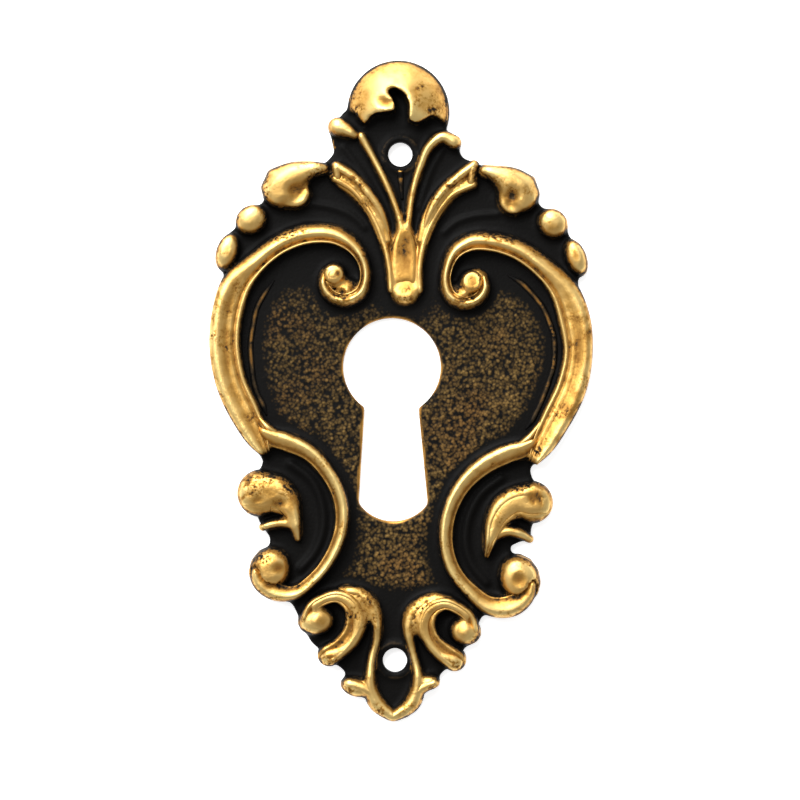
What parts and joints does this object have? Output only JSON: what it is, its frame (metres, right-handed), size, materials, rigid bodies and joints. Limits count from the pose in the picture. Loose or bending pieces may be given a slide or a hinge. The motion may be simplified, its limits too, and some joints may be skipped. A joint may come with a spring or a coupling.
{
  "type": "keyhole escutcheon",
  "caption": "Cast brass keyhole escutcheon with scrolled borders, shoulder beads, leafy foot, ball top and dark pebbled ground; pin holes at top and foot.",
  "frame": {"origin": "on the flat back, midway between the centres of the pin holes", "axes": "+Y runs up the plate to the ball, +Z comes out of the carved face, +X is to the right seen from the face"},
  "size_m": [0.0314, 0.0542, 0.0034],
  "materials": {
    "antiqued_brass": "antiqued: black in the hollows and on the ground, burnished on the high carving"
  },
  "bodies": {
    "root": {"escutcheon_plate": "antiqued_brass"}
  },
  "joints": []
}
